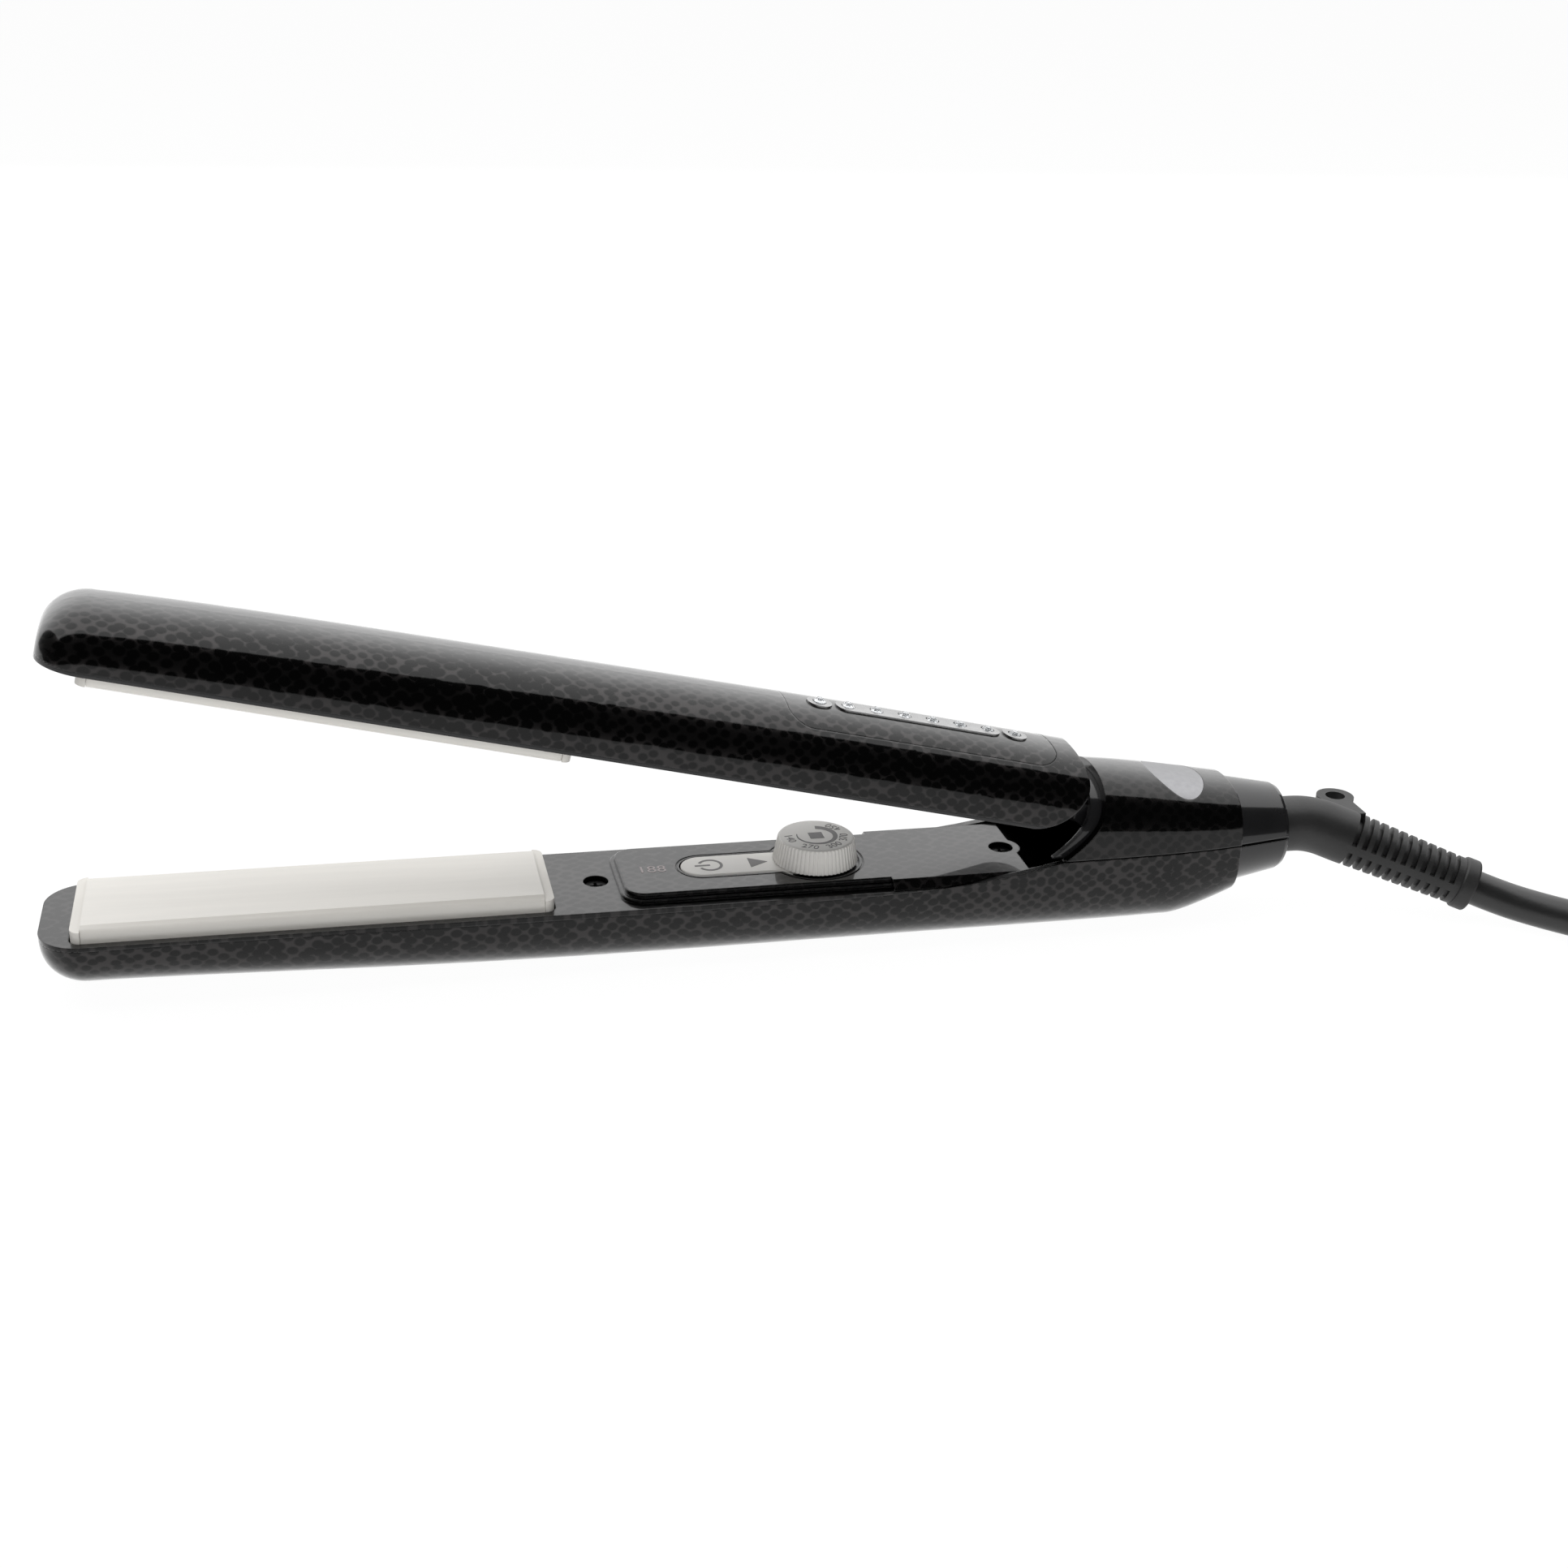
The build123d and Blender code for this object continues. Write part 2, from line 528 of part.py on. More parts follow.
def upper_inner_cover():
    """The inner cover: frame around the plate, pocket over the dial, hinge ears."""
    rim = upper_outer() & rear_round() & brick((-240, -20, 0), (0, 20, UPPER_PARTING_Z))
    floor = brick((-127, -12.6, UPPER_RIM_Z), (-31, 12.6, UPPER_RIM_Z + 1.5))
    cover = rim + floor - face_down(carrier_hole(-10, -2))
    cup = post(DIAL_X, 0, UPPER_RIM_Z + 0.2, 8.0, 11.6)
    cover += cup
    cover -= post(DIAL_X, 0, 0, 6.8, 10.4)
    for x in UPPER_SCREW_X:
        cover += post(x, 0, UPPER_RIM_Z, 7.3, 4.2)
        cover -= post(x, 0, 0, UPPER_RIM_Z + 2.5, SCREW_HEAD + 0.3)
        cover -= post(x, 0, 0, 8, SCREW_SHANK + 0.15)
    neck = slab(((-32.0, 10.5), (-32.0, UPPER_RIM_Z), (-27.0, UPPER_RIM_Z), (-22.0, 4.8), (-10.0, 2.0),
                 (-10.0, 8.4)), NECK_HALF)
    arms = slab(((-18.0, 8.6), (-18.0, 4.6), (-4.2, -3.4), (0, -EAR_RADIUS), (0, EAR_RADIUS)), EAR_Y[1])
    ears = arms + rod(0, 0, -EAR_Y[1], EAR_Y[1], EAR_RADIUS)
    ears -= brick((-9.5, -EAR_Y[0], -8), (8, EAR_Y[0], 12))
    cover += neck + ears
    cover -= rod(0, 0, -20, 20, BUSH_RADIUS + 0.01)
    return cover - rod(0, 0, -EAR_Y[0], EAR_Y[0], 6.6)


# ---- controls ----


def power_key():
    """The key: a strip that tips at its front end, with its pivots and the foot that meets the switch."""
    key = key_plan(0.0, KEY_BOTTOM, KEY_TOP)
    top_edge = key.edges().group_by(Axis.Z)[-1]
    key = fillet(top_edge, 0.35)
    key -= post(DIAL_X, 0, -4, 1, 4.1)
    key += rod(KEY_PIVOT_X, KEY_PIVOT_Z, -KEY_HALF - 1.2, KEY_HALF + 1.2, 0.65)
    return key + post(-96.3, 0, -4.2, KEY_BOTTOM + 0.1, 1.6)


def dial_knob():
    """The temperature dial: a slightly tapered drum with fine ribs and a soft top edge."""
    low, high = DIAL_Z
    drum = Pos(DIAL_X, 0, (low + high) / 2) * Cone(DIAL_FOOT, DIAL_TOP, high - low)
    drum = fillet(drum.edges().group_by(Axis.Z)[-1], 0.7)
    lean = math.degrees(math.atan((DIAL_FOOT - DIAL_TOP) / (high - low)))
    groove = Pos(DIAL_FOOT + 0.15, 0, 0) * Rot(0, -lean, 0) * Cylinder(RIB_GROOVE, 11.0)
    grooves = [Pos(DIAL_X, 0, low) * Rot(0, 0, 360 / DIAL_RIBS * n) * groove for n in range(DIAL_RIBS)]
    drum -= grooves
    return drum - post(DIAL_X, 0, -3, 2.4, 3.02)


def dial_shaft():
    """The potentiometer's shaft."""
    return post(DIAL_X, 0, -5.6, 2.3, 3.0)


# ---- inside the lower arm ----


def control_board():
    """The printed circuit board with its screw holes."""
    board = rounded_plan(-111, -40, 9.4, 1.0, -8.6, -7.4)
    for x in BOARD_SCREW_X:
        board -= post(x, 0, -10, -6, SCREW_SHANK + 0.1)
    return board


def board_screws():
    """Two short screws that hold the board to its posts."""
    heads = [post(x, 0, -7.35, -6.35, 2.0) for x in BOARD_SCREW_X]
    shanks = [post(x, 0, -13.4, -7.3, SCREW_SHANK) for x in BOARD_SCREW_X]
    return Part() + heads + shanks


def potentiometer():
    """The dial's potentiometer, soldered to the board, with a bush around the shaft."""
    can = brick((DIAL_X - 5.5, -5.5, -7.35), (DIAL_X + 5.5, 5.5, -4.2)) + post(DIAL_X, 0, -4.3, -2.6, 3.35)
    return can - post(DIAL_X, 0, -5.8, 0, 3.05)


def key_switch():
    """The tactile switch under the front end of the key."""
    return brick((-99.3, -3, -7.35), (-93.3, 3, -5.7)) + post(-96.3, 0, -5.8, -5.15, 1.5)


def display_module():
    """The small red figure display that shines through the panel."""
    return brick((-110.4, -5, -7.35), (-103.0, 5, -3.0)) & brick((-110.4, -4.6, -7.35), (-104.0, 4.6, -2.4))


def wire_pair(points, radius, spread):
    """Two wires side by side along the same route."""
    wires = []
    for y in (-spread, spread):
        route = [(x, py + y, z) for x, py, z in points]
        wires.append(tube(route, radius, bend_radii(route, 0.4)))
    return Part() + wires


def torsion_spring():
    """The spring that opens the arms: five turns around the pin."""
    wire, turn = 0.6, 3.6
    pitch = 1.45
    coil = Helix(pitch=pitch, height=5 * pitch, radius=turn)
    section = Plane(coil @ 0, z_dir=coil % 0) * Circle(wire)
    wound = sweep(section, path=coil, is_frenet=True)
    return Pos(0, 2.5 * pitch, 0) * Rot(90, 0, 0) * wound


# ---- hinge, screws ----


def hinge_pin():
    """The steel pin across the housing."""
    return rod(0, 0, -PIN_HALF, PIN_HALF, PIN_RADIUS)


def hinge_bushes():
    """A bush in each ear, turning on the pin."""
    pieces = []
    for low, high in ((-EAR_Y[1], -EAR_Y[0]), EAR_Y):
        pieces.append(rod(0, 0, low, high, BUSH_RADIUS) - rod(0, 0, low, high, PIN_RADIUS + 0.05))
    return Part() + pieces


def cover_screw(x, y, seat, length, up):
    """A pan head screw with a cross recess; up is +1 if its head faces up."""
    head = post(x, y, min(seat, seat + up * 1.3), max(seat, seat + up * 1.3), SCREW_HEAD)
    top = seat + up * 1.3
    cross = Box(3.0, 0.7, 1.4) + Box(0.7, 3.0, 1.4)
    shank = post(x, y, min(seat, seat - up * length), max(seat, seat - up * length), SCREW_SHANK)
    return head + shank - Pos(x, y, top) * cross


# ---- swivel, strain relief, cord ----


def relief_direction():
    """The way the strain relief points after its bend."""
    return (Vector(*RELIEF_END) - Vector(*RELIEF_BEND)).normalized()


def strain_relief():
    """Rubber relief: stem and flange in the collar, moulded bend, slotted taper, end ring."""
    along = relief_direction()
    bend_end = Vector(*RELIEF_BEND) + along * 8.0
    path = FilletPolyline((COLLAR_END_X - 3, 0, 0), RELIEF_BEND, bend_end, radius=16)
    neck = sweep(Plane(path @ 0, z_dir=path % 0) * Circle(NECK_RADIUS), path=path)
    neck += ring(24.0, 29.1, 5.0, 0) + ring(29.0, 31.3, 8.6, 0) + ring(31.2, 36.0, NECK_RADIUS, 0)
    length = (Vector(*RELIEF_END) - bend_end).length
    frame = Plane(bend_end, x_dir=(0, 0, 1), z_dir=along)
    taper = frame * Pos(0, 0, length / 2) * Cone(NECK_RADIUS, RELIEF_END_RADIUS, length)
    end_ring = frame * Pos(0, 0, length - RELIEF_RING / 2) * Cylinder(RELIEF_RING_RADIUS, RELIEF_RING)
    end_ring = fillet(end_ring.edges().filter_by(GeomType.CIRCLE), 0.6)
    pitch = (length - RELIEF_RING - 2.2) / RELIEF_SLOTS
    width = pitch * SLOT_SHARE
    slot = Cylinder(2 * NECK_RADIUS, width) - Cylinder(RELIEF_CORE, width) - Box(2 * RELIEF_SPINE, 40, width)
    slots = [frame * Pos(0, 0, 1.2 + pitch * (n + 0.5)) * slot for n in range(RELIEF_SLOTS)]
    return neck + (taper - slots) + end_ring


def hanging_loop(relief):
    """The rubber eye behind the relief, hollowed to sit against it."""
    x, y = LOOP_PLACE
    low, high = LOOP_Z
    tab = brick((x - 2.4, y - 10.4, low), (x + 2.4, y - 3.0, high))
    eye = post(x, y, low, high, LOOP_RADIUS) + tab
    return eye - post(x, y, low - 1, high + 1, LOOP_BORE) - relief


def cord_tube(points):
    """A stretch of the cord, with its bends printed."""
    radii = bend_radii(points)
    solid = tube(points, CORD_DIAMETER / 2, radii)
    path = FilletPolyline(*points, radius=radii)
    section = math.pi * (CORD_DIAMETER / 2) ** 2
    print("bend radii", [round(r, 1) for r in radii], "length", round(path.length, 1))
    print("volume over section times length", round(solid.volume / (section * path.length), 4))
    return solid


def cord_hank():
    """The outer form of the wound length: long turns, two side by side, with a hollow in the middle."""
    radius = CORD_DIAMETER / 2
    plan = SlotCenterToCenter(HANK_RUN, 2 * (HANK_OUTER + radius))
    plan -= SlotCenterToCenter(HANK_RUN, 2 * (HANK_INNER - radius))
    hank = extrude(plan, amount=HANK_LAYERS * CORD_DIAMETER)
    return Pos(HANK_START_X + HANK_RUN / 2, HANK_Y, HANK_LIFT) * hank


def cord_tie():
    """The strap round the middle of the hank."""
    width = 2 * HANK_OUTER + CORD_DIAMETER
    height = HANK_LAYERS * CORD_DIAMETER
    outline = RectangleRounded(width + 1.6, height + 1.6, 2.0) - Rectangle(width + 0.1, height + 0.1)
    band = extrude(Plane.YZ * outline, amount=TIE_HALF, both=True)
    return Pos(HANK_START_X + HANK_RUN / 2, HANK_Y, HANK_LIFT + height / 2) * band


def plug_frame():
    """Where the plug starts, facing the way that the tail arrives."""
    last, before = Vector(*TAIL_ROUTE[-1]), Vector(*TAIL_ROUTE[-2])
    return Plane(last, x_dir=(0, 0, 1), z_dir=(last - before).normalized())


def plug_pieces():
    """The moulded two-blade plug and its blades."""
    frame = plug_frame()
    grip = loft([
        Pos(0, 0, 0) * RectangleRounded(8.8, 9.6, 2.5),
        Pos(0, 0, 9) * RectangleRounded(9.6, 12.0, 2.5),
        Pos(0, 0, 17) * RectangleRounded(PLUG_HEIGHT - 1, PLUG_WIDTH - 3, 4.0),
        Pos(0, 0, PLUG_LENGTH) * RectangleRounded(PLUG_HEIGHT, PLUG_WIDTH, 3.0)])
    blades = []
    for y, width in ((-6.35, 6.3), (6.35, 7.9)):
        blade = Pos(0, y, PLUG_LENGTH + 8.0) * Box(width, 1.5, 16.0)
        blades.append(blade - Pos(0, y, PLUG_LENGTH + 12.5) * Rot(90, 0, 0) * Cylinder(1.6, 4))
    return frame * grip, frame * (Part() + blades)


# ---- putting it together ----


def lower_pieces():
    """Everything fixed to the lower arm."""
    outer, hollow = lower_outer(), lower_hollow()
    cover, badge, liner = rear_covers()
    collar_top, collar_bottom = collar_halves()
    relief = strain_relief()
    deck_screws = [cover_screw(x, 0, z - 2.35, 9.6, 1) for x, z in zip(LOWER_SCREW_X, (LOWER_RIM_Z, PANEL_Z))]
    rear_screws = [cover_screw(REAR_SCREW_X, y, REAR_SCREW_SEAT - FIT, 16.0, -1) for y in REAR_SCREW_Y]
    return {
        "lower_shell": lower_shell(outer, hollow),
        "lower_inner_cover": lower_inner_cover(outer, hollow),
        "rear_cover": cover,
        "rear_badge": badge,
        "mouth_liner": liner,
        "collar_upper_half": collar_top,
        "collar_lower_half": collar_bottom,
        "lower_plate": plate(),
        "lower_plate_carrier": plate_carrier(),
        "lower_heater": heater(),
        "lower_heater_clip": heater_clip(),
        "thermistor": sensor(PLATE_X + 39.5),
        "control_board": control_board(),
        "board_screws": board_screws(),
        "dial_potentiometer": potentiometer(),
        "key_switch": key_switch(),
        "display_module": display_module(),
        "mains_wires": wire_pair(MAINS_WIRES, 0.75, 1.0),
        "lower_heater_wires": wire_pair(LOWER_WIRES, 0.6, 0.9),
        "hinge_pin": hinge_pin(),
        "torsion_spring": torsion_spring(),
        "lower_cover_screws": Part() + deck_screws,
        "rear_cover_screws": Part() + rear_screws,
        "swivel_washer": ring(26.2, 28.7, COLLAR_BORE - FIT, 5.3),
        "swivel_terminal_block": ring(14.0, 20.4, 8.2, 0),
        "dial_knob": dial_knob(),
        "dial_shaft": dial_shaft(),
        "power_key": power_key(),
        "strain_relief": relief,
        "swivel_contact_rings": ring(22.4, 23.9, 5.0, 3.9) + ring(22.4, 23.9, 2.6, 1.4),
        "hanging_loop": hanging_loop(relief),
    }


def upper_pieces():
    """Everything fixed to the upper arm, drawn closed."""
    screws = [cover_screw(x, 0, UPPER_RIM_Z + 2.5 - FIT, 8.4, -1) for x in UPPER_SCREW_X]
    return {
        "upper_shell": upper_shell(),
        "upper_inner_cover": upper_inner_cover(),
        "trim_panel": trim_panel(),
        "stone_setting": stone_setting(),
        "rhinestones": rhinestones(),
        "upper_plate": face_down(plate()),
        "upper_plate_carrier": face_down(plate_carrier()),
        "upper_heater": face_down(heater()),
        "upper_heater_clip": face_down(heater_clip()),
        "thermal_fuse": face_down(sensor(PLATE_X + 39.5)),
        "upper_heater_wires": wire_pair(UPPER_WIRES, 0.6, 0.9),
        "hinge_bushes": hinge_bushes(),
        "upper_cover_screws": Part() + screws,
    }


def cord_pieces():
    """The cord, in the frame of the finished part."""
    plug, blades = plug_pieces()
    return {
        "power_cord": cord_tube(CORD_ROUTE),
        "cord_hank": cord_hank(),
        "cord_tie": cord_tie(),
        "cord_tail": cord_tube(TAIL_ROUTE),
        "plug_body": plug,
        "plug_blades": blades,
    }


def main():
    """Put each piece where it lies with the iron open, and write it."""
    os.makedirs("parts", exist_ok=True)
    lifted = Pos(0, 0, REST_HEIGHT)
    finished = {name: lifted * piece for name, piece in lower_pieces().items()}
    opened = lifted * Rot(0, OPEN_ANGLE, 0)
    finished.update({name: opened * piece for name, piece in upper_pieces().items()})
    finished.update(cord_pieces())
    for name, piece in finished.items():
        export_step(piece, f"parts/{name}.step")


main()
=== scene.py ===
import math

import bpy
from mathutils import Matrix, Vector


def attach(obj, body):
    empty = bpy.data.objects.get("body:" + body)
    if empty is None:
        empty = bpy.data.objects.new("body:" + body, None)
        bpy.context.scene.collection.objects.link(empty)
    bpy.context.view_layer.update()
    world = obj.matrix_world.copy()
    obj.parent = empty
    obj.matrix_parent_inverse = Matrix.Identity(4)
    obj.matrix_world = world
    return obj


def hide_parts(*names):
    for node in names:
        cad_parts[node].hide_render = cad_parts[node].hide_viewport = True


# A hair straightening iron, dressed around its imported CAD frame. Metres; the iron lies on z = 0, its tips
# point to -X, and the hinge is over the origin.

# The camera
CAMERA_PLACE = (-0.1743, -0.3949, 0.2076)
CAMERA_YAW = 13.66
CAMERA_PITCH = 23.12
CAMERA_ROLL = 2.18
CAMERA_LENS = 48.45
CAMERA_SENSOR = 36.0

# The iron, as the CAD has it
HINGE_HEIGHT = 0.0174
OPEN_ANGLE = 12.84
LOWER_AXIS_Z = 0.0144
UPPER_AXIS_Z = 0.0206
REAR_AXIS_Z = 0.0184
PANEL_TOP = 0.0162
KEY_TOP = 0.01638
DIAL_X = -0.0709
DIAL_TOP = 0.02175

# The cord: the route's points, then the hank's turns, then the tail to the plug in its hollow
CORD_DIAMETER = 0.0078
CORD_ROUTE = (
    (0.0768, -0.0160, 0.0066), (0.0822, -0.0191, 0.00485), (0.0884, -0.0239, 0.00396),
    (0.0950, -0.0303, 0.00393), (0.1028, -0.0374, 0.00395), (0.1124, -0.0442, 0.0041),
    (0.1246, -0.0494, 0.0044), (0.1380, -0.0518, 0.0047), (0.1507, -0.0523, 0.00475))
TAIL_ROUTE = (
    (0.2507, 0.0035, 0.00475), (0.2382, 0.0031, 0.0048), (0.2247, -0.0010, 0.0052),
    (0.2122, -0.0080, 0.0062), (0.1992, -0.0129, 0.0070), (0.1862, -0.0142, 0.0074))
HANK_START_X = 0.1507
HANK_RUN = 0.100
HANK_Y = -0.0205
HANK_OUTER = 0.0318
HANK_INNER = 0.0240
HANK_BOTTOM = 0.00475
HANK_LAYERS = (0, 1, 2, 3, 2, 1, 0)
LAST_OUTER_TURN = 3
FOLD_POINTS = 8
RUN_SHARES = (0.2, 0.5, 0.8)

# Colours
PRINT_GROUND = (0.024, 0.022, 0.022, 1)
PRINT_SPOT = (0.002, 0.002, 0.002, 1)
GLOSS_BLACK = (0.007, 0.007, 0.0075, 1)
OFF_WHITE = (0.72, 0.705, 0.675, 1)
PLATE_GREY = (0.70, 0.68, 0.64, 1)
MARK_GREY = (0.13, 0.125, 0.125, 1)
RUBBER_BLACK = (0.010, 0.010, 0.010, 1)
DIGIT_RED = (0.07, 0.004, 0.006, 1)

# The printed scales
SCALE_LENGTH = 0.0034
SCALE_WIDTH = 0.0025
PRINT_RADIUS = 0.0135
EDGE_ROUND = 0.00045

# The floor, and the lit half round tent behind and above the iron
FLOOR_Z = -0.0002
FLOOR_HALF = 40.0
TENT_RADIUS = 1.25
TENT_HALF_LENGTH = 1.6
TENT_BACK = 178
TENT_FRONT = 74
TENT_STEPS = 26
TENT_GLOW = (0.9, 2.1)
FLOOR_GLOW = 0.97
FLOOR_TONE = 0.05
DIM = 0.05

# The soft light in front
FILL_PLACE = (-0.5, -1.6, 0.9)
FILL_SIZE = (1.6, 1.2)
FILL_POWER = 13

# Marks on the controls
MARK_THICKNESS = 0.00004
DIAL_NUMBERS = (("140", 187), ("270", 245), ("300", 297), ("370", 343), ("450", 38))
NUMBER_RADIUS = 0.0059
NUMBER_SIZE = 0.0025
ARC_FROM = 163
ARC_TO = 440
ARC_RADIUS = 0.0041
ARC_WIDTHS = (0.0002, 0.0014)
CENTRE_MARK_HALF = 0.0015
SIGN_X = -0.0937
SIGN_RADIUS = 0.0024
SIGN_STROKE = 0.0006
SIGN_BAR = 0.0033
ARROW_X = (-0.0853, -0.0813)
ARROW_HALF = 0.0023
FIGURES_X = -0.1062
FIGURES_SIZE = 0.0042


# ---- small helpers ----


def link(obj):
    """obj, put in the scene."""
    bpy.context.scene.collection.objects.link(obj)
    return obj


def mesh_piece(name, points, faces, material, body):
    """A mesh piece that rides on a body."""
    mesh = bpy.data.meshes.new(name)
    mesh.from_pydata(points, [], faces)
    mesh.validate()
    mesh.update()
    piece = link(bpy.data.objects.new(name, mesh))
    mesh.materials.append(material)
    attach(piece, body)


def add(tree, kind, values=None, links=None, **settings):
    """A shader node with its settings, its plain values and what is linked to it."""
    made = tree.nodes.new(kind)
    for name, value in settings.items():
        setattr(made, name, value)
    for socket, value in (values or {}).items():
        made.inputs[socket].default_value = value
    for socket, source in (links or {}).items():
        tree.links.new(source, made.inputs[socket])
    return made


def math_node(tree, operation, first, second=0.0, third=0.0):
    """The output of a Math node; each input is a number or another node's output."""
    made = tree.nodes.new("ShaderNodeMath")
    made.operation = operation
    for socket, value in zip(made.inputs, (first, second, third)):
        if isinstance(value, (int, float)):
            socket.default_value = value
        else:
            tree.links.new(value, socket)
    return made.outputs[0]


def blank(name, **values):
    """A new material with its Principled shader's own sockets set."""
    material = bpy.data.materials.new(name)
    material.use_nodes = True
    shader = material.node_tree.nodes["Principled BSDF"]
    for socket, value in values.items():
        shader.inputs[socket.replace("_", " ")].default_value = value
    return material, material.node_tree, shader


def place_on(tree):
    """The point in the row frame, which moves with the piece."""
    return tree.nodes.new("ShaderNodeTexCoord").outputs["Object"]


def noise(tree, where, scale, detail=3.0, stretch=(1, 1, 1)):
    """A noise value over the surface, stretched along the axes."""
    mapped = add(tree, "ShaderNodeMapping", {"Scale": stretch}, {"Vector": where})
    made = add(tree, "ShaderNodeTexNoise", {"Scale": scale, "Detail": detail}, {"Vector": mapped.outputs[0]})
    return made.outputs["Fac"]


def ramp(tree, value, *stops):
    """A colour ramp over value: each stop is (position, colour)."""
    made = tree.nodes.new("ShaderNodeValToRGB")
    tree.links.new(value, made.inputs["Fac"])
    while len(made.color_ramp.elements) < len(stops):
        made.color_ramp.elements.new(0.5)
    for element, (position, colour) in zip(made.color_ramp.elements, stops):
        element.position = position
        element.color = colour
    return made.outputs["Color"]


def between(tree, value, low, high):
    """A number from low to high as value goes from 0 to 1."""
    made = add(tree, "ShaderNodeMapRange", {"To Min": low, "To Max": high}, {"Value": value})
    return made.outputs[0]


def bump(tree, shader, height, distance, socket="Normal"):
    """Bump from a height value, distance deep at its full range."""
    made = add(tree, "ShaderNodeBump", {"Distance": distance}, {"Height": height})
    tree.links.new(made.outputs[0], shader.inputs[socket])


def paint(material, *nodes):
    """Give CAD nodes their material."""
    for name in nodes:
        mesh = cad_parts[name].data
        mesh.materials.clear()
        mesh.materials.append(material)


# ---- camera, cord ----


def make_camera():
    """The camera where the picture was taken from."""
    yaw, pitch, roll = (math.radians(a) for a in (CAMERA_YAW, CAMERA_PITCH, CAMERA_ROLL))
    forward = Vector((math.sin(yaw) * math.cos(pitch), math.cos(yaw) * math.cos(pitch), -math.sin(pitch)))
    right = Vector((math.cos(yaw), -math.sin(yaw), 0))
    above = right.cross(forward)
    rolled_right = math.cos(roll) * right + math.sin(roll) * above
    rolled_above = math.cos(roll) * above - math.sin(roll) * right
    turned = Matrix((rolled_right, rolled_above, -forward)).transposed().to_4x4()
    data = bpy.data.cameras.new("camera")
    data.lens = CAMERA_LENS
    data.sensor_width = CAMERA_SENSOR
    data.clip_start = 0.01
    camera = link(bpy.data.objects.new("camera", data))
    camera.matrix_world = Matrix.Translation(CAMERA_PLACE) @ turned
    bpy.context.scene.camera = camera


def eased(start, stop, share):
    """From start to stop, slowly at both ends."""
    return start + (stop - start) * (1 - math.cos(math.pi * share)) / 2


def hank_fold(middle_x, first_angle, widths, layers):
    """Points round one end of the hank, changing width or layer on the way."""
    cut_in = math.cos(math.pi / FOLD_POINTS / 2)
    points = []
    for n in range(FOLD_POINTS):
        share = (n + 0.5) / FOLD_POINTS
        angle = math.radians(first_angle + 180 * share)
        reach = eased(*widths, share) / cut_in
        height = HANK_BOTTOM + CORD_DIAMETER * eased(*layers, share)
        points.append((middle_x + reach * math.cos(angle), HANK_Y + reach * math.sin(angle), height))
    return points


def hank_points():
    """The hank's turns: the outer ones wound upwards, then the inner ones back down."""
    far_x = HANK_START_X + HANK_RUN
    points = []
    for turn, layer in enumerate(HANK_LAYERS):
        before = HANK_OUTER if turn <= LAST_OUTER_TURN else HANK_INNER
        after = HANK_OUTER if turn < LAST_OUTER_TURN else HANK_INNER
        height = HANK_BOTTOM + CORD_DIAMETER * layer
        points += [(HANK_START_X + HANK_RUN * share, HANK_Y - before, height) for share in RUN_SHARES]
        points += hank_fold(far_x, -90, (before, after), (layer, layer))
        if turn + 1 < len(HANK_LAYERS):
            points += [(far_x - HANK_RUN * share, HANK_Y + after, height) for share in RUN_SHARES]
            points += hank_fold(HANK_START_X, 90, (after, after), (layer, HANK_LAYERS[turn + 1]))
    return points


def make_cord():
    """The mains cord, one smooth line from the strain relief through its hank to the plug."""
    points = list(CORD_ROUTE) + hank_points() + list(TAIL_ROUTE)
    curve = bpy.data.curves.new("mains_cord", "CURVE")
    curve.dimensions = "3D"
    curve.bevel_depth = CORD_DIAMETER / 2
    curve.bevel_resolution = 6
    curve.resolution_u = 6
    spline = curve.splines.new("NURBS")
    spline.points.add(len(points) - 1)
    for made, point in zip(spline.points, points):
        made.co = (*point, 1)
    spline.order_u = 3
    spline.use_endpoint_u = True
    curve.use_fill_caps = True
    cord = link(bpy.data.objects.new("mains_cord", curve))
    curve.materials.append(cord_jacket())
    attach(cord, "cord_end")
    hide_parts("power_cord", "cord_hank", "cord_tail")


# ---- materials ----


def cord_jacket():
    """Satin black cord jacket with faint streaks and grain."""
    material, tree, shader = blank(
        "cord_jacket", Base_Color=RUBBER_BLACK, Coat_Weight=0.15, Coat_Roughness=0.25)
    where = place_on(tree)
    grain = noise(tree, where, 900, 4)
    tree.links.new(between(tree, noise(tree, where, 60), 0.34, 0.46), shader.inputs["Roughness"])
    bump(tree, shader, grain, 0.00004)
    return material


def soft_edges(tree, shader):
    """Edges that look slightly rounded, so that they catch the light."""
    made = add(tree, "ShaderNodeBevel", {"Radius": EDGE_ROUND}, samples=4)
    tree.links.new(made.outputs[0], shader.inputs["Coat Normal"])


def print_place(tree, where, axis_z):
    """How far along and how far round the arm a point is; a flat face has no axis."""
    split = add(tree, "ShaderNodeSeparateXYZ", links={"Vector": where})
    along, side = split.outputs["X"], split.outputs["Y"]
    if axis_z is None:
        return along, side
    rise = math_node(tree, "ABSOLUTE", math_node(tree, "SUBTRACT", split.outputs["Z"], axis_z))
    return along, math_node(tree, "MULTIPLY", math_node(tree, "ARCTAN2", rise, side), PRINT_RADIUS)


